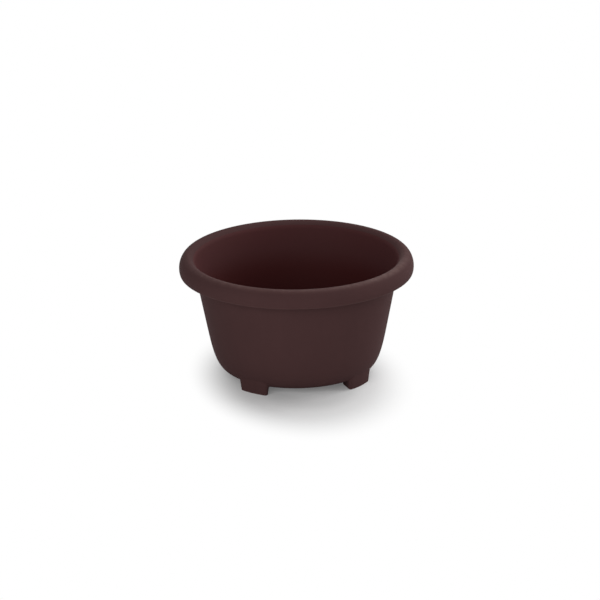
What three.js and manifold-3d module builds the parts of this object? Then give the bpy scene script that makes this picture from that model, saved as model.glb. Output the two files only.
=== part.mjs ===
// Bowl planter in dark brown moulded plastic: a tapered bowl with a thick rolled rim, on four low feet.
// The pot is a single sheet of plastic, turned about a vertical axis and divided where its form changes.
// Millimetres, +Z up. The origin is on the ground, under the middle of the pot.

import * as THREE from "three";
import { mergeVertices } from "three/addons/utils/BufferGeometryUtils.js";
import Module from "manifold-3d";

// Whole pot
const rimRadius = 150;
const crestHeight = 159;
const skin = 2.6;

// Bowl
const wallTaper = THREE.MathUtils.degToRad(11.15);
const bendHeight = 73.4;
const baseRadius = 87.5;
const shoulderFullness = 0.6;
const standHeight = 9.6;

// Rolled rim
const rimWidth = 19.5;
const innerEdgeDrop = 4;
const innerBendDrop = 9;
const innerEdgeFullness = 0.45;
const crestInset = 11;
const rollDrop = 16;
const lipTuck = 3;
const lipDrop = 8.2;
const lipTurn = THREE.MathUtils.degToRad(60);
const rollDepth = 11;

// Floor
const middleRise = 2;
const middleRadius = 36;
const middleSlope = 5;
const panEdge = 1.2;
const drainRadius = 6;
const drainGap = 4;
const drainCount = 4;

// Feet, whose outer face at the ground is a share of the way from the base's edge out to the wall
const footCount = 4;
const footShare = 0.397;
const footSpread = THREE.MathUtils.degToRad(12.6);
const footDepth = 21;
const footEndTurn = THREE.MathUtils.degToRad(33);
const outerCornerReach = 5.5;
const innerCornerReach = 3;
const footDraft = THREE.MathUtils.degToRad(8);
const seam = 0.3;

// Smoothness of the round forms
const turns = 72;
const shoulderSteps = 10;
const edgeSteps = 6;
const rollSteps = 8;
const lipSteps = 5;
const cornerSteps = 4;
const holeSides = 24;

// Heights and radii that follow from the sizes above
const innerEdgeRadius = rimRadius - rimWidth;
const innerEdgeHeight = crestHeight - innerEdgeDrop;
const wallWidth = skin / Math.cos(wallTaper);
const rollHeight = crestHeight - rollDepth;
const floorHeight = standHeight + skin + middleRise + panEdge;
const drainCircle = middleRadius + middleSlope + drainGap + drainRadius;

const at = (radius, height) => new THREE.Vector2(radius, height);

// Radius of the bowl's inside face at a height on its straight wall
function insideRadius(height) {
  return innerEdgeRadius - (innerEdgeHeight - height) * Math.tan(wallTaper);
}

// A curve's points, moved sideways by a distance: to the left of its direction when positive
function offsetPoints(curve, steps, distance) {
  return Array.from({ length: steps + 1 }, (_, i) => {
    const along = curve.getTangent(i / steps);
    return curve.getPoint(i / steps).add(at(-along.y, along.x).multiplyScalar(distance));
  });
}

// A line that climbs, split at a height, with the point where it crosses in both parts
function splitAt(line, height) {
  const next = line.findIndex((point) => point.y > height);
  const below = line[next - 1];
  const above = line[next];
  const crossing = below.clone().lerp(above, (height - below.y) / (above.y - below.y));
  crossing.y = height;
  const lower = line.slice(0, next).filter((point) => !point.equals(crossing));
  return [[...lower, crossing], [crossing, ...line.slice(next)]];
}

// Control points of a bend from a level end to an end that runs along the wall, and fuller the nearer 1 it is
const wallUp = at(Math.sin(wallTaper), Math.cos(wallTaper));

function bend(levelEnd, wallEnd, fullness) {
  const span = wallEnd.clone().sub(levelEnd).multiplyScalar(fullness);
  return [
    levelEnd,
    at(levelEnd.x + span.x, levelEnd.y),
    wallEnd.clone().addScaledVector(wallUp, -span.y),
    wallEnd,
  ];
}

// The outside of the shoulder, from the flat underside up to the straight wall
const baseEdge = at(baseRadius, standHeight);
const wallFoot = at(insideRadius(bendHeight) + wallWidth, bendHeight);
const shoulderCurve = new THREE.CubicBezierCurve(...bend(baseEdge, wallFoot, shoulderFullness));

// The top face of the rim: round the inner edge to the crest, down the roll, and in to the lip
const crest = at(rimRadius - crestInset, crestHeight);
const wallTop = at(insideRadius(crestHeight - innerBendDrop), crestHeight - innerBendDrop);
const edgeCurve = new THREE.CubicBezierCurve(...bend(crest, wallTop, innerEdgeFullness).reverse());
const rollCurve = new THREE.EllipseCurve(
  crest.x,
  crestHeight - rollDrop,
  crestInset,
  rollDrop,
  Math.PI / 2,
  0,
  true,
);
const lipCurve = new THREE.EllipseCurve(
  rimRadius - lipTuck,
  crestHeight - rollDrop,
  lipTuck,
  lipDrop,
  0,
  -lipTurn,
  true,
);

// The floor's face, raised in the middle and level out to where the shoulder starts
function floorLine(height) {
  return [
    at(0, height + middleRise),
    at(middleRadius, height + middleRise),
    at(middleRadius + middleSlope, height),
  ];
}

// One face of the sheet from the middle of the floor up to the crest, and one from the crest down to the lip.
// The sheet's thickness is measured square to the face, and the shoulder and the rim lie on opposite faces.
function bowlFace(inwards) {
  return [
    ...floorLine(standHeight + inwards),
    ...offsetPoints(shoulderCurve, shoulderSteps, inwards),
    ...offsetPoints(edgeCurve, edgeSteps, inwards - skin),
  ];
}

function rollFace(inwards) {
  return [
    ...offsetPoints(rollCurve, rollSteps, inwards - skin),
    ...offsetPoints(lipCurve, lipSteps, inwards - skin).slice(1),
  ];
}

// The bowl's two faces, divided at the heights where one piece ends and the next begins
function bowlParts(inwards) {
  const [floor, overFloor] = splitAt(bowlFace(inwards), floorHeight);
  const [shoulder, overShoulder] = splitAt(overFloor, bendHeight);
  const [wall, crown] = splitAt(overShoulder, rollHeight);
  return { floor, shoulder, wall, crown };
}

function rollParts(inwards) {
  const [skirt, roll] = splitAt(rollFace(inwards).reverse(), rollHeight);
  return { skirt, roll };
}

const inside = bowlParts(skin);
const outside = bowlParts(0);
const rollTop = rollParts(skin);
const rollUnder = rollParts(0);

// A closed turned body from the line of its one face and the line of its other face, both climbing
function turned(outerLine, innerLine) {
  const outline = [...outerLine, ...innerLine.slice().reverse()];
  if (outline[0].x > 0) outline.push(outline[0]);
  return new THREE.LatheGeometry(outline, turns).rotateX(Math.PI / 2);
}

const wasm = await Module();
wasm.setup();

// A geometry as a solid for joining and cutting, and a solid as a geometry
function solidOf(geometry) {
  const bare = new THREE.BufferGeometry();
  bare.setAttribute("position", geometry.getAttribute("position"));
  bare.setIndex(geometry.getIndex());
  const merged = mergeVertices(bare, 1e-3);
  const positions = merged.getAttribute("position").array;
  const triangles = new Uint32Array(merged.getIndex().array);
  return new wasm.Manifold(
    new wasm.Mesh({ numProp: 3, vertProperties: positions, triVerts: triangles }),
  );
}

function geometryOf(solid) {
  const mesh = solid.getMesh();
  const geometry = new THREE.BufferGeometry();
  geometry.setAttribute("position", new THREE.BufferAttribute(mesh.vertProperties, 3));
  geometry.setIndex(new THREE.BufferAttribute(mesh.triVerts, 1));
  geometry.computeVertexNormals();
  return geometry;
}

// Floor pan: the drain holes lie on the X and Y axes, just outside the raised middle
function floorGeometry() {
  let pan = solidOf(turned(outside.floor, inside.floor));
  for (let i = 0; i < drainCount; i += 1) {
    const angle = (i * 2 * Math.PI) / drainCount;
    const drill = new THREE.CylinderGeometry(drainRadius, drainRadius, floorHeight * 2, holeSides);
    drill.rotateX(Math.PI / 2);
    drill.translate(drainCircle * Math.cos(angle), drainCircle * Math.sin(angle), standHeight);
    pan = pan.subtract(solidOf(drill));
  }
  return geometryOf(pan);
}

// Radius of the feet's outer faces at the ground
const footRadius = THREE.MathUtils.lerp(baseEdge.x, wallFoot.x, footShare);

// Foot in plan: its outer face follows the pot's circle, its ends close in towards the middle, and its
// corners are rounded, less so where an end is too short to hold both
function footPlan() {
  const endLength = footDepth / Math.cos(footEndTurn);
  const room = Math.min(1, endLength / (outerCornerReach + innerCornerReach));
  const outerReach = outerCornerReach * room;
  const innerReach = innerCornerReach * room;
  const endDirection = at(-Math.cos(footEndTurn), -Math.sin(footEndTurn));
  const outerCorner = at(footRadius * Math.cos(footSpread), footRadius * Math.sin(footSpread));
  const innerCorner = outerCorner.clone().addScaledVector(endDirection, endLength);
  const endStart = outerCorner.clone().addScaledVector(endDirection, outerReach);
  const endStop = innerCorner.clone().addScaledVector(endDirection, -innerReach);
  const faceSpread = footSpread - outerReach / footRadius;
  const faceEnd = at(footRadius * Math.cos(faceSpread), footRadius * Math.sin(faceSpread));
  const plan = new THREE.Shape();
  plan.absarc(0, 0, footRadius, -faceSpread, faceSpread);
  plan.quadraticCurveTo(outerCorner.x, outerCorner.y, endStart.x, endStart.y);
  plan.lineTo(endStop.x, endStop.y);
  plan.quadraticCurveTo(innerCorner.x, innerCorner.y, innerCorner.x, innerCorner.y - innerReach);
  plan.lineTo(innerCorner.x, innerReach - innerCorner.y);
  plan.quadraticCurveTo(innerCorner.x, -innerCorner.y, endStop.x, -endStop.y);
  plan.lineTo(endStart.x, -endStart.y);
  plan.quadraticCurveTo(outerCorner.x, -outerCorner.y, faceEnd.x, -faceEnd.y);
  return plan;
}

// Foot: it widens with its draft as it rises, and the underside of the bowl, filled up to a peak that clears
// the blank, cuts it off a seam away
function footGeometry() {
  const blank = new THREE.ExtrudeGeometry(footPlan(), {
    depth: skin,
    bevelThickness: bendHeight,
    bevelSize: bendHeight * Math.tan(footDraft),
    bevelSegments: 1,
    curveSegments: cornerSteps,
  });
  blank.translate(0, 0, bendHeight);
  const peak = at(0, crestHeight + 2 * bendHeight);
  const bowl = turned(bowlFace(-seam), [peak]);
  return geometryOf(solidOf(blank).subtract(solidOf(bowl)));
}

// The pot
const plastic = { color: 0x463332, roughness: 0.5, metalness: 0 };
const pot = new THREE.Group();

function add(name, geometry, parent = pot) {
  const mesh = new THREE.Mesh(geometry, new THREE.MeshStandardMaterial(plastic));
  mesh.name = name;
  parent.add(mesh);
}

add("pot_floor", floorGeometry());
add("pot_shoulder", turned(outside.shoulder, inside.shoulder));
add("pot_wall", turned(outside.wall, inside.wall));
add(
  "rim_roll",
  turned(
    [...rollTop.roll, ...inside.crown.slice().reverse().slice(1)],
    [...rollUnder.roll, ...outside.crown.slice().reverse().slice(1)],
  ),
);
add("rim_skirt", turned(rollTop.skirt, rollUnder.skirt));

// The feet stand on the diagonals, and the first is at the back right
const footNames = ["back_right", "back_left", "front_left", "front_right"];
for (let i = 0; i < footCount; i += 1) {
  const place = new THREE.Group();
  place.rotation.z = ((i + 0.5) * 2 * Math.PI) / footCount;
  pot.add(place);
  add(`foot_${footNames[i] ?? i}`, footGeometry(), place);
}

export default pot;
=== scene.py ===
import math

import bpy
import numpy as np
from mathutils import Matrix, Vector


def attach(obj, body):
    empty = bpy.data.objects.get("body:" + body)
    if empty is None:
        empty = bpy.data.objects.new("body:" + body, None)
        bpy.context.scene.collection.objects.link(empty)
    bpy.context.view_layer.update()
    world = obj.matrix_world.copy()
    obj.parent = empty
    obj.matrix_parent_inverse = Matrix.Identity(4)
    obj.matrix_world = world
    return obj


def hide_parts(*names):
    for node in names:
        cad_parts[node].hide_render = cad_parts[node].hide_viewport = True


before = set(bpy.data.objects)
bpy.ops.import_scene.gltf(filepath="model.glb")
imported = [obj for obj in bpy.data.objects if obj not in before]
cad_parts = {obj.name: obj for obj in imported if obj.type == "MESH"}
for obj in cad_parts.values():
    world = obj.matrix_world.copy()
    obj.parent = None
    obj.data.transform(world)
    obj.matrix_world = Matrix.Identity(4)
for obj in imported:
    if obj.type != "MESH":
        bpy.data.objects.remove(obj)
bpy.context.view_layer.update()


# Bowl
# The pot's body is one sheet of polypropylene, 2.6 mm thick, injection moulded in a single shot with its
# rim and feet. It has a pan floor with a raised middle, a deep rounded shoulder and a straight wall that
# leans outwards.

MM = 0.001
skin = 2.6
turns = 240
taper = math.radians(11.15)
wall_up = np.array([math.sin(taper), math.cos(taper)])
rim_radius = 150.0
crest_height = 159.0
inner_edge = np.array([rim_radius - 19.5, crest_height - 4.0])
joint_height = crest_height - 11.0
bend_height, shoulder_fullness = 73.4, 0.6
base_edge = np.array([87.5, 9.6])
middle_radius, flat_radius, middle_rise = 36.0, 41.0, 2.0


def on_wall(height, outwards=0.0):
    """Where the straight wall is at a height: on its inside face, or that far out through the sheet."""
    along = (height - inner_edge[1]) / wall_up[1]
    inside = inner_edge + wall_up * along
    return inside + np.array([outwards / math.cos(taper), 0.0])


def bezier(corners, steps):
    """Points of a cubic curve, and the direction at each."""
    a, b, c, d = (np.asarray(corner, float) for corner in corners)
    t = np.linspace(0, 1, steps + 1)[:, None]
    points = (1 - t) ** 3 * a + 3 * (1 - t) ** 2 * t * b + 3 * (1 - t) * t**2 * c + t**3 * d
    along = (1 - t) ** 2 * (b - a) + 2 * (1 - t) * t * (c - b) + t**2 * (d - c)
    return points, along / np.linalg.norm(along, axis=1)[:, None]


def bend(level_end, wall_end, fullness, steps):
    """A curve that leaves its level end flat and comes in to its other end along the wall."""
    span = (wall_end - level_end) * fullness
    corners = (level_end, level_end + [span[0], 0], wall_end - wall_up * span[1], wall_end)
    return bezier(corners, steps)


def beside(curve, distance):
    """A curve's points moved sideways, to the left of its direction where the distance is positive."""
    points, along = curve
    return points + np.stack([-along[:, 1], along[:, 0]], 1) * distance


def quadratic(start, corner, stop, steps=24):
    """Points, or rows of points, along a curve that rounds off a corner."""
    t = np.linspace(0, 1, steps + 1).reshape(-1, *[1] * np.ndim(corner))
    return (1 - t) ** 2 * start + 2 * (1 - t) * t * corner + t**2 * stop


def softened(line, radius, steps=6, lead=0.5):
    """A line with its corners rounded. A point close to each side of a corner keeps its flats flat."""
    line = np.asarray(line, float)
    rows = [line[0]]
    for before, corner, after in zip(line, line[1:], line[2:]):
        back = (before - corner) / np.linalg.norm(before - corner)
        on = (after - corner) / np.linalg.norm(after - corner)
        rows.append(corner + back * (radius + lead))
        rows.extend(quadratic(corner + back * radius, corner, corner + on * radius, steps))
        rows.append(corner + on * (radius + lead))
    return np.array([*rows, line[-1]])


def pan(height):
    """The floor's face at a height, from its raised middle out to where its flat ring begins."""
    return [(0, height + middle_rise), (middle_radius, height + middle_rise), (flat_radius, height)]


shoulder_shape = (base_edge, on_wall(bend_height, skin), shoulder_fullness)
shoulder = bend(*shoulder_shape, 30)


class Value:
    """An output socket. Python's own operators on it add Math nodes."""

    def __init__(self, tree, socket):
        self.tree, self.socket = tree, socket

    def other(self, name):
        return Value(self.tree, self.socket.node.outputs[name])

    def maths(self, operation, *values):
        return self.tree.add("ShaderNodeMath", {"operation": operation}, list(values))

    def root(self):
        return self.maths("SQRT", self)

    def eased(self, start, stop, low=0.0, high=1.0):
        """low where this is at start or before it, high at stop or past it, and smooth between them."""
        smooth = {"interpolation_type": "SMOOTHSTEP"}
        return self.tree.add("ShaderNodeMapRange", smooth, [self, start, stop, low, high])

    def __add__(self, other):
        return self.maths("ADD", self, other)

    def __radd__(self, other):
        return self.maths("ADD", other, self)

    def __sub__(self, other):
        return self.maths("SUBTRACT", self, other)

    def __rsub__(self, other):
        return self.maths("SUBTRACT", other, self)

    def __mul__(self, other):
        return self.maths("MULTIPLY", self, other)

    def __rmul__(self, other):
        return self.maths("MULTIPLY", other, self)

    def __truediv__(self, other):
        return self.maths("DIVIDE", self, other)

    def __rtruediv__(self, other):
        return self.maths("DIVIDE", other, self)

    def __mod__(self, other):
        return self.maths("FLOORED_MODULO", self, other)

    def __rmod__(self, other):
        return self.maths("FLOORED_MODULO", other, self)

    def __gt__(self, other):
        return self.maths("GREATER_THAN", self, other)

    def __lt__(self, other):
        return self.maths("LESS_THAN", self, other)


class Tree:
    """A node tree as it is written. One method adds a node of any type."""

    def __init__(self, tree):
        self.tree = tree
        tree.nodes.clear()

    def add(self, kind, settings=None, inputs=(), output=0):
        """A node: its settings, then its sockets, by name or in order. Returns one of its outputs."""
        node = self.tree.nodes.new(kind)
        for name, setting in (settings or {}).items():
            if name == "points":
                curve = node.mapping.curves[0].points
                while len(curve) < len(setting):
                    curve.new(1.0, 1.0)
                for point, place in zip(curve, setting):
                    point.location, point.handle_type = place, "VECTOR"
                node.mapping.update()
            else:
                setattr(node, name, setting)
        for name, value in inputs.items() if isinstance(inputs, dict) else enumerate(inputs):
            if isinstance(value, Value):
                self.tree.links.new(value.socket, node.inputs[name])
            elif value is not None:
                node.inputs[name].default_value = value
        return Value(self, node.outputs[output]) if node.outputs else None


def geometry_tree(name, **inputs):
    """A geometry tree with named inputs, and a Value for each of them."""
    group = bpy.data.node_groups.new(name, "GeometryNodeTree")
    tree = Tree(group)
    sides = {"INPUT": {"Geometry": "Geometry", **inputs}, "OUTPUT": {"Geometry": "Geometry"}}
    for side, sockets in sides.items():
        for label, kind in sockets.items():
            group.interface.new_socket(label, in_out=side, socket_type=f"NodeSocket{kind}")
    start = tree.add("NodeGroupInput")
    return tree, {label: start.other(label) for label in ("Geometry", *inputs)}


def smooth_out(tree, geometry, material):
    """Ends a tree: smooth round forms, sharp edges where two pieces are divided, and the material."""
    faces = {"Geometry": geometry, "Shade Smooth": True}
    rounded = tree.add("GeometryNodeSetShadeSmooth", {"domain": "FACE"}, faces)
    angle = tree.add("GeometryNodeInputMeshEdgeAngle")
    edges = {"Geometry": rounded, "Selection": angle > math.radians(45), "Shade Smooth": False}
    shaded = tree.add("GeometryNodeSetShadeSmooth", {"domain": "EDGE"}, edges)
    realized = tree.add("GeometryNodeRealizeInstances", None, {"Geometry": shaded})
    dressed = tree.add("GeometryNodeSetMaterial", None, {"Geometry": realized, "Material": material})
    tree.add("NodeGroupOutput", None, {"Geometry": dressed})


def grow(name, vertices, edges, tree, faces=(), **sizes):
    """A piece from its drawn lines and a geometry tree, as a plain mesh with nothing left live on it."""
    drawn = bpy.data.meshes.new(f"{name}_drawn")
    drawn.from_pydata([tuple(v) for v in vertices], edges, faces)
    piece = bpy.data.objects.new(name, drawn)
    bpy.context.scene.collection.objects.link(piece)
    growth = piece.modifiers.new("growth", "NODES")
    growth.node_group = tree.tree
    for socket in tree.tree.interface.items_tree:
        if socket.in_out == "INPUT" and socket.name in sizes:
            growth[socket.identifier] = sizes[socket.name]
    grown = piece.evaluated_get(bpy.context.evaluated_depsgraph_get())
    piece.data = bpy.data.meshes.new_from_object(grown)
    piece.data.name = name
    piece.modifiers.remove(growth)
    return piece


def turning(tree, line, columns):
    """Adds the nodes that turn a line of points round the upright axis and close its seam and poles."""
    of_mesh = {"component": "MESH"}
    rows = tree.add("GeometryNodeAttributeDomainSize", of_mesh, {"Geometry": line}, "Point Count")
    cells = {"Size X": 1.0, "Size Y": 1.0, "Vertices X": rows, "Vertices Y": columns + 1}
    grid = tree.add("GeometryNodeMeshGrid", None, cells)
    index = tree.add("GeometryNodeInputIndex")
    column = index % (columns + 1)
    row = (index - column) / (columns + 1)
    place = tree.add("GeometryNodeInputPosition")
    sample = {"Geometry": line, "Value": place, "Index": row + 0.5}
    sampled = tree.add("GeometryNodeSampleIndex", {"data_type": "FLOAT_VECTOR"}, sample)
    turn = tree.add("ShaderNodeCombineXYZ", None, {"Z": column * (-2 * math.pi) / columns})
    by_angles = {"rotation_type": "EULER_XYZ"}
    turned = tree.add("ShaderNodeVectorRotate", by_angles, {"Vector": sampled, "Rotation": turn})
    swept = tree.add("GeometryNodeSetPosition", None, {"Geometry": grid, "Position": turned})
    return tree.add("GeometryNodeMergeByDistance", None, {"Geometry": swept, "Distance": 1e-6})


def ringed(tree, shape, count):
    """Adds the nodes that set copies of a drawn shape evenly round the upright axis."""
    spots = tree.add("GeometryNodePoints", None, {"Count": count, "Position": (0, 0, 0)})
    index = tree.add("GeometryNodeInputIndex")
    turn = tree.add("ShaderNodeCombineXYZ", None, {"Z": index * (2 * math.pi) / count})
    ring = {"Points": spots, "Instance": shape, "Rotation": turn}
    return tree.add("GeometryNodeInstanceOnPoints", None, ring)


outer_browns = (0.0480, 0.0235, 0.0235, 1), (0.0590, 0.0285, 0.0285, 1)
# The inside colours are painted shade: redder than the outside, and darker lower in the bowl.
inside_painted_shade_browns = (0.0580, 0.0200, 0.0205, 1), (0.0500, 0.0120, 0.0118, 1)
wear_and_highlight_brown = (0.105, 0.058, 0.053, 1)
painted_shade_from, painted_shade_to = 130.0, 95.0
curve_span = 160.0
middle_of_sheet = np.concatenate(
    [
        pan(base_edge[1] + skin / 2),
        beside(shoulder, skin / 2)[::3],
        [on_wall(crest_height, skin / 2), (crest_height, curve_span)],
    ]
)


def moulded_plastic(name, wear_and_highlight_mask=None):
    """Satin brown polypropylene, coloured right through. The half of the mould that made the outside was
    etched matt, and the half that made the inside was smoother. The inside is painted redder than the
    outside, and darker and redder lower down, as painted shade in the bowl. The optional mask gives the
    places made lighter and glossier: wear from handling, and on the rim also a painted highlight."""
    material = bpy.data.materials.new(name)
    material.use_nodes = True
    tree = Tree(material.node_tree)
    place = tree.add("ShaderNodeTexCoord", output="Object")

    def cloudy(size, detail=2.0, where=place):
        settings = {"Vector": where, "Scale": 1 / (size * MM), "Detail": detail, "Roughness": 0.55}
        return tree.add("ShaderNodeTexNoise", None, settings)

    def blended(mask, under, over):
        return tree.add("ShaderNodeMix", {"data_type": "RGBA"}, {0: mask, 6: under, 7: over}, 2)

    # The melt ran up the wall from the gate under the floor, which leaves faint streaks along its way
    apart = tree.add("ShaderNodeSeparateXYZ", None, [place])
    across, along, height = apart, apart.other("Y"), apart.other("Z")
    radius = (across * across + along * along).root()
    spread = {"X": across / radius * 0.12, "Y": along / radius * 0.12, "Z": height * 0.35}
    streaks = cloudy(16, 3.0, tree.add("ShaderNodeCombineXYZ", None, spread))
    mottle = cloudy(38)
    curve = {"points": middle_of_sheet / curve_span}
    middle = tree.add("ShaderNodeFloatCurve", curve, {"Value": radius / (curve_span * MM)})
    above = height / (curve_span * MM) - middle
    inner = above.eased(-0.004, 0.004)
    patches = (streaks + mottle) * 0.5
    outside = blended(patches, *outer_browns)
    # Painted shade: the inside turns darker and redder from 130 mm down to 95 mm, deep in the bowl's
    # hollow.
    inside = blended(height.eased(painted_shade_from * MM, painted_shade_to * MM), *inside_painted_shade_browns)
    colour = blended(inner, outside, inside)
    roughness = 0.68 + mottle * 0.06 + streaks * 0.04 - inner * 0.12
    polish = 0.0
    if wear_and_highlight_mask is not None:
        # Lighter and glossier where the mask is high: wear, and on the rim also a painted highlight.
        wear_and_highlight = wear_and_highlight_mask(across, along, height, radius) * cloudy(7, 4.0)
        colour = blended(wear_and_highlight, colour, wear_and_highlight_brown)
        roughness = roughness - wear_and_highlight * 0.08
        polish = wear_and_highlight * 0.2
    grain = cloudy(0.45, 1.0)
    wave = cloudy(24)
    etched = {"Strength": 0.6, "Distance": 0.05 * MM, "Height": grain}
    fine = tree.add("ShaderNodeBump", None, etched)
    uneven = {"Strength": 1.0, "Distance": 0.12 * MM, "Height": wave, "Normal": fine}
    form = tree.add("ShaderNodeBump", None, uneven)
    shader = {
        "Base Color": colour,
        "Roughness": roughness,
        "Specular IOR Level": 0.03,
        "Coat Weight": polish,
        "Coat Roughness": 0.4,
        "Normal": form,
    }
    surface = tree.add("ShaderNodeBsdfPrincipled", None, shader)
    tree.add("ShaderNodeOutputMaterial", None, {"Surface": surface})
    return material


bowl_plastic = moulded_plastic("satin brown plastic of the bowl")

# Underside: the gate's cut stub in its dimple, the raised middle, and the flat out to the shoulder
gate_middle = np.array([0, base_edge[1] + middle_rise])
gate_shape = gate_middle + [(0, -0.1), (1.6, -0.1), (2, 0.35), (6, 0.35), (6.8, 0), (12, 0)]
gate = softened(gate_shape, 0.15, 3, 0.05)
pan_under = softened([gate_shape[-1], *pan(base_edge[1])[1:], base_edge], 1.2)
pan_inside = softened([base_edge + [0, skin], *reversed(pan(base_edge[1] + skin))], 1.2)
wall_heights = (110.0, 140.0, joint_height)
bowl_line = np.concatenate(
    [
        gate,
        pan_under[1:],
        beside(shoulder, 0)[1:],
        [on_wall(height, skin) for height in wall_heights],
        [on_wall(height) for height in reversed(wall_heights)],
        beside(shoulder, skin)[::-1],
        pan_inside[1:],
    ]
)


def drawn_line(line):
    """A line of (radius, height) in millimetres, as vertices and edges in metres over the X axis."""
    vertices = [(r * MM, 0, z * MM) for r, z in line]
    return vertices, [(i, i + 1) for i in range(len(line) - 1)]


# The drain holes are cut by a spool that flares at both faces of the floor, which rounds their edges
hole_radius, hole_edge, drain_circle = 6.0, 0.5, 51.0
spool_tree, given = geometry_tree("turned spool", Turns="Int")
tree_end = turning(spool_tree, given["Geometry"], given["Turns"])
spool_tree.add("NodeGroupOutput", None, {"Geometry": tree_end})
flare_middle = np.array([hole_radius + hole_edge, base_edge[1] + hole_edge])
spool_half = [(0, 6), (7, 6), (6.66, 9.54)]
for angle in np.radians(range(75, -1, -15)):
    spool_half.append(flare_middle - hole_edge * np.array([math.cos(angle), math.sin(angle)]))
spool_rest = [(radius, 2 * base_edge[1] + skin - height) for radius, height in reversed(spool_half)]
spool = grow("drain_spool", *drawn_line(spool_half + spool_rest), spool_tree, Turns=48)
spool.data.transform(Matrix.Translation((drain_circle * MM, 0, 0)))

bowl_inputs = {"Turns": "Int", "Spool": "Object", "Holes": "Int", "Plastic": "Material"}
bowl_tree, given = geometry_tree("drained bowl", **bowl_inputs)
sheet = turning(bowl_tree, given["Geometry"], given["Turns"])
cutter = bowl_tree.add("GeometryNodeObjectInfo", None, {"Object": given["Spool"]}, "Geometry")
cutters = ringed(bowl_tree, cutter, given["Holes"])
cutters = bowl_tree.add("GeometryNodeRealizeInstances", None, {"Geometry": cutters})
taken_away = {"operation": "DIFFERENCE", "solver": "EXACT"}
drained = bowl_tree.add("GeometryNodeMeshBoolean", taken_away, {"Mesh 1": sheet, "Mesh 2": cutters})
smooth_out(bowl_tree, drained, given["Plastic"])
bowl_sizes = {"Turns": turns, "Spool": spool, "Holes": 4, "Plastic": bowl_plastic}
bowl = grow("pot_bowl", *drawn_line(bowl_line), bowl_tree, **bowl_sizes)
bpy.data.objects.remove(spool)
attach(bowl, "root")
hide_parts("pot_floor", "pot_shoulder", "pot_wall")


# Rim
# The top of the sheet is rolled outwards in a half round, over a crest and down to a lip that turns back
# in. It is moulded in one with the wall, and it stiffens the mouth and gives the fingers a hold.

crest = np.array([rim_radius - 11.0, crest_height])
roll_drop, inner_drop, inner_fullness = 16.0, 9.0, 0.45
lip_tuck, lip_drop, lip_end = 3.0, 8.2, -47.0
crest_wear_and_highlight_radius, lip_wear_and_highlight_height = 138.5, 138.0


def elliptical(centre, across, up, start, end, steps):
    """Points of an ellipse's arc between two angles in degrees, and the direction at each."""
    angles = np.radians(np.linspace(start, end, steps + 1))[:, None]
    points = centre + np.concatenate([across * np.cos(angles), up * np.sin(angles)], 1)
    along = np.concatenate([-across * np.sin(angles), up * np.cos(angles)], 1) * np.sign(end - start)
    return points, along / np.linalg.norm(along, axis=1)[:, None]


def round_end(start, stop, along, steps=8):
    """Points between the two faces of the sheet at its end, in a half circle."""
    middle, radius = (start + stop) / 2, np.linalg.norm(start - stop) / 2
    angles = np.linspace(0, math.pi, steps + 1)[1:-1, None]
    return middle + (start - middle) * np.cos(angles) + along * radius * np.sin(angles)


edge_points, edge_along = bend(crest, on_wall(crest_height - inner_drop), inner_fullness, 16)
edge = edge_points[::-1], -edge_along[::-1]
roll = elliptical(crest - [0, roll_drop], rim_radius - crest[0], roll_drop, 90, 0, 26)
lip_middle = (rim_radius - lip_tuck, crest_height - roll_drop)
lip = elliptical(lip_middle, lip_tuck, lip_drop, 0, lip_end, 8)
over, under = (
    np.concatenate([beside(edge, out), beside(roll, out)[1:], beside(lip, out)[1:]])
    for out in (0, -skin)
)
lip_round = round_end(over[-1], under[-1], lip[1][-1])
joint_inside, joint_outside = on_wall(joint_height), on_wall(joint_height, skin)
rim_line = [joint_inside, *over, *lip_round, *under[::-1], joint_outside, joint_inside][::-1]


def rim_wear_and_highlight(across, along, height, radius):
    """A lighter, glossier band on the crest and the lip: wear where hands and stacked pots rub, and a
    painted highlight, most at the front right.
    """
    off_crest = radius.maths("ABSOLUTE", radius - crest_wear_and_highlight_radius * MM)
    on_crest = off_crest.eased(8.5 * MM, 3.0 * MM)
    # Painted highlight: the band fades towards the back and grows towards the right, where the light
    # catches the crest.
    in_front = along.eased(20 * MM, -110 * MM, 0.04, 0.65)
    at_right = across.eased(20 * MM, 105 * MM, 1.0, 1.8)
    # The lip's lower edge is lighter too: wear, and a painted highlight along that edge.
    on_lip = height.eased(lip_wear_and_highlight_height * MM, (lip_wear_and_highlight_height - 1) * MM, 0.0, 0.35)
    return on_crest * in_front * at_right + on_lip


rim_tree, given = geometry_tree("rolled rim", Turns="Int", Plastic="Material")
smooth_out(rim_tree, turning(rim_tree, given["Geometry"], given["Turns"]), given["Plastic"])
rim_plastic = moulded_plastic("satin brown plastic of the rim", rim_wear_and_highlight)
rim = grow("pot_rim", *drawn_line(rim_line), rim_tree, Turns=turns, Plastic=rim_plastic)
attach(rim, "root")
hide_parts("rim_roll", "rim_skirt")


# Feet
# Four low solid feet of the same plastic, moulded in one with the shoulder, on the diagonals. They draw
# out of the mould downwards, so their sides lean, and a small fillet runs round each under the bowl.

foot_share = 0.397
foot_radius = base_edge[0] + (shoulder[0][-1, 0] - base_edge[0]) * foot_share
foot_spread, foot_turn = math.radians(12.6), math.radians(33)
foot_draft = math.tan(math.radians(8))
foot_depth, outer_reach, inner_reach = 21.0, 5.5, 3.0
foot_edge, foot_fillet, foot_root, around = 0.6, 1.8, 1.2, 120


def on_face(turn):
    """Places on the foot's outer face, in plan, at angles from its middle."""
    return foot_radius * np.stack([np.cos(turn), np.sin(turn)], -1)


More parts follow.
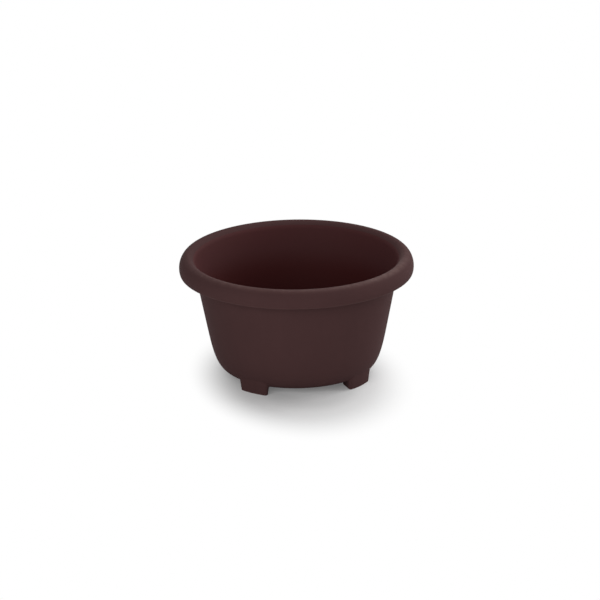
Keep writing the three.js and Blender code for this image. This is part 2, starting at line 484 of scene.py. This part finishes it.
# Half of the plan, from the middle of the outer face round both corners to the middle of the inner face
face = on_face(np.linspace(0, foot_spread - outer_reach / foot_radius, 40))
outer_corner = on_face(foot_spread)
end_way = -np.array([math.cos(foot_turn), math.sin(foot_turn)])
inner_corner = outer_corner + end_way * foot_depth / math.cos(foot_turn)
inner_stop = inner_corner - [0, inner_reach]
outer_turn = quadratic(face[-1], outer_corner, outer_corner + end_way * outer_reach)
inner_turn = quadratic(inner_corner - end_way * inner_reach, inner_corner, inner_stop)
half_plan = np.concatenate([face, outer_turn[1:], inner_turn, [inner_stop * [1, 0]]])
plan = np.concatenate([half_plan, half_plan[-2:0:-1] * [1, -1], half_plan[:1]])
walked = np.concatenate([[0], np.cumsum(np.linalg.norm(np.diff(plan, axis=0), axis=1))])
paces = np.linspace(0, walked[-1], around + 1)[:-1]
plan = np.stack([np.interp(paces, walked, plan[:, k]) for k in (0, 1)], 1)
ahead = np.roll(plan, -1, 0) - np.roll(plan, 1, 0)
outward = np.stack([ahead[:, 1], -ahead[:, 0]], 1) / np.linalg.norm(ahead, axis=1)[:, None]
underside = bend(*shoulder_shape, 400)[0]


def on_underside(spots, depth=0.0):
    """Places in plan carried up to the underside of the bowl, and that far on into the sheet."""
    away = np.linalg.norm(spots, axis=1)
    height = np.interp(away, underside[:, 0], underside[:, 1])
    slope = np.interp(away, underside[:, 0], np.gradient(underside[:, 1], underside[:, 0]), left=0)
    into = np.concatenate([-slope[:, None] * spots / away[:, None], np.ones((len(spots), 1))], 1)
    into /= np.linalg.norm(into, axis=1)[:, None]
    return np.concatenate([spots, height[:, None]], 1) + into * depth


def on_side(height):
    """The foot's side at a height for each point of its plan, leaning out with its draft."""
    height = np.broadcast_to(height, len(plan))
    return np.concatenate([plan + outward * (height * foot_draft)[:, None], height[:, None]], 1)


# Where each side runs into the underside, found by halving the space between two heights
below, above = np.full(around, 4.0), np.full(around, 60.0)
for _ in range(50):
    half_way = (below + above) / 2
    inside = on_underside(on_side(half_way)[:, :2])[:, 2] > half_way
    below, above = np.where(inside, half_way, below), np.where(inside, above, half_way)
meeting = on_side(below)
fillet_start = on_side(below - foot_fillet)
fillet_stop = on_underside(meeting[:, :2] + outward * foot_fillet, 0.03)
centre = np.array([foot_radius - foot_depth / 2, 0.0])


def on_sole(inset, share=1.0):
    """The plan on the ground, moved in from its edge and drawn together about the foot's centre."""
    return np.pad(centre + (plan - outward * inset - centre) * share, ((0, 0), (0, 1)))


# Rows of vertices: out over the sole, up the side, round the fillet, and in through the bowl's sheet
rows = [on_sole(foot_edge * 1.5, share) for share in (0.35, 0.7, 1.0)]
rows.extend(quadratic(on_sole(foot_edge), on_side(0.0), on_side(foot_edge), 6))
for share in (0.05, 0.5, 0.95):
    rows.append(on_side(foot_edge) * (1 - share) + fillet_start * share)
rows.extend(quadratic(fillet_start, meeting, fillet_stop, 8))
for share in (1.0, 0.8, 0.6, 0.4, 0.2):
    rows.append(on_underside(centre + (fillet_stop[:, :2] - centre) * share, foot_root))
foot_vertices = np.concatenate([[[*centre, 0]], *rows, on_underside(centre[None], foot_root)])
to_diagonal = np.array(Matrix.Rotation(math.radians(45), 3, "Z"))
foot_vertices = foot_vertices @ to_diagonal.T * MM
last = len(foot_vertices) - 1
foot_faces = []
for column in range(around):
    beyond = (column + 1) % around
    foot_faces.append((0, 1 + beyond, 1 + column))
    foot_faces.append((last, last - around + column, last - around + beyond))
    for row in range(len(rows) - 1):
        low, high = 1 + row * around, 1 + (row + 1) * around
        foot_faces.append((low + column, low + beyond, high + beyond, high + column))


def scuffed_feet(across, along, height, radius):
    """The soles and their edges, which the pot is pushed about on."""
    return height.eased(2.2 * MM, 0.4 * MM, 0.0, 0.7)


feet_tree, given = geometry_tree("feet in a ring", Count="Int", Plastic="Material")
smooth_out(feet_tree, ringed(feet_tree, given["Geometry"], given["Count"]), given["Plastic"])
foot_plastic = moulded_plastic("satin brown plastic of the feet", scuffed_feet)
feet = grow("pot_feet", foot_vertices, [], feet_tree, foot_faces, Count=4, Plastic=foot_plastic)
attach(feet, "root")
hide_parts("foot_front_left", "foot_front_right", "foot_back_left", "foot_back_right")


# Floor
# A plain pale sweep. It keeps the pot's soft shadow, adds a painted shadow as a darker ring of its
# colour round the feet, and turns to plain white away from it.

floor_mesh = bpy.data.meshes.new("floor")
floor_mesh.from_pydata([(-9, -9, 0), (9, -9, 0), (9, 9, 0), (-9, 9, 0)], [], [(0, 1, 2, 3)])
floor = bpy.data.objects.new("floor", floor_mesh)
bpy.context.scene.collection.objects.link(floor)


def seen_as_background(tree):
    """1 where the camera, a reflection or a view through glass looks, and 0 for other light."""
    looks = tree.add("ShaderNodeLightPath", output="Is Camera Ray")
    shine = looks.other("Is Glossy Ray")
    through = looks.other("Is Transmission Ray")
    return looks.maths("MAXIMUM", looks, looks.maths("MAXIMUM", shine, through))


shade_across, shade_along, shade_forwards = 0.079, 0.127, 0.027
pale = bpy.data.materials.new("pale floor")
pale.use_nodes = True
tree = Tree(pale.node_tree)
white = tree.add("ShaderNodeEmission")
apart = tree.add("ShaderNodeSeparateXYZ", None, [tree.add("ShaderNodeTexCoord", output="Object")])
sideways, forwards = apart / shade_across, (apart.other("Y") + shade_forwards) / shade_along
reach = (sideways * sideways + forwards * forwards).root()
# Painted shadow: the board is a darker grey in a ring round the feet.
ring = reach.eased(0.42, 0.64) * reach.eased(1.05, 0.72)
pale_board = tree.add("ShaderNodeBsdfDiffuse", None, {"Color": (0.8, 0.8, 0.8, 1)})
painted_shadow_board = tree.add("ShaderNodeBsdfDiffuse", None, {"Color": (0.63, 0.63, 0.63, 1)})
board = tree.add("ShaderNodeMixShader", None, [ring, pale_board, painted_shadow_board])
away = reach.eased(1.0, 1.85, 0.12)
surface = tree.add("ShaderNodeMixShader", None, [seen_as_background(tree) * away, board, white])
tree.add("ShaderNodeOutputMaterial", None, {"Surface": surface})
floor_mesh.materials.append(pale)


# Light
# Even light from all round, a wide soft box low at the front left, a smaller one at the right, and a
# third high up behind the pot's right side.

world = bpy.data.worlds.new("studio")
bpy.context.scene.world = world
world.use_nodes = True
tree = Tree(world.node_tree)
seen = seen_as_background(tree)
around_light = 0.24
strength = seen + (1 - seen) * around_light
sky = tree.add("ShaderNodeBackground", None, {"Color": (1, 1, 1, 1), "Strength": strength})
tree.add("ShaderNodeOutputWorld", None, {"Surface": sky})


def direction(azimuth, elevation):
    a, e = math.radians(azimuth), math.radians(elevation)
    return Vector((math.sin(a) * math.cos(e), -math.cos(a) * math.cos(e), math.sin(e)))


lamp_distance, lamp_height, pot_middle = 1.6, 0.9, Vector((0, 0, 0.08))


def soft_box(name, azimuth, elevation, width, power):
    """A soft box that looks at the pot's middle."""
    lamp = bpy.data.lights.new(name, "AREA")
    lamp.shape, lamp.size, lamp.size_y, lamp.energy = "RECTANGLE", width, lamp_height, power
    holder = bpy.data.objects.new(name, lamp)
    back = direction(azimuth, elevation)
    holder.location = pot_middle + back * lamp_distance
    holder.rotation_euler = back.to_track_quat("Z", "Y").to_euler()
    bpy.context.scene.collection.objects.link(holder)


soft_box("front_left", azimuth=330, elevation=20, width=1.8, power=16.4)
soft_box("right", azimuth=95, elevation=22, width=1.2, power=15.5)
soft_box("high_right", azimuth=125, elevation=60, width=1.8, power=14.5)


# Camera
# The photograph's own view: from the front, a little to the left and 19 degrees up, through a long lens.
# The picture is tilted by under a degree.

azimuth, elevation, tilt = -9.5, 19.34, math.radians(0.75)
distance, aim_right, aim_height = 6.0, 0.0040, 0.0967
back, right = direction(azimuth, elevation), direction(azimuth + 90, 0)
upward = back.cross(right)
eye = right * aim_right + Vector((0, 0, aim_height)) + back * distance
level = right * math.cos(tilt) - upward * math.sin(tilt)
upright = right * math.sin(tilt) + upward * math.cos(tilt)
camera = bpy.data.objects.new("camera", bpy.data.cameras.new("camera"))
camera.data.sensor_width, camera.data.lens = 36.0, 281.0
camera.data.clip_start, camera.data.clip_end = 0.1, 100.0
camera.matrix_world = Matrix((
    (level.x, upright.x, back.x, eye.x),
    (level.y, upright.y, back.y, eye.y),
    (level.z, upright.z, back.z, eye.z),
    (0, 0, 0, 1),
))
bpy.context.scene.collection.objects.link(camera)
bpy.context.scene.camera = camera
bpy.context.scene.view_settings.view_transform = "Standard"
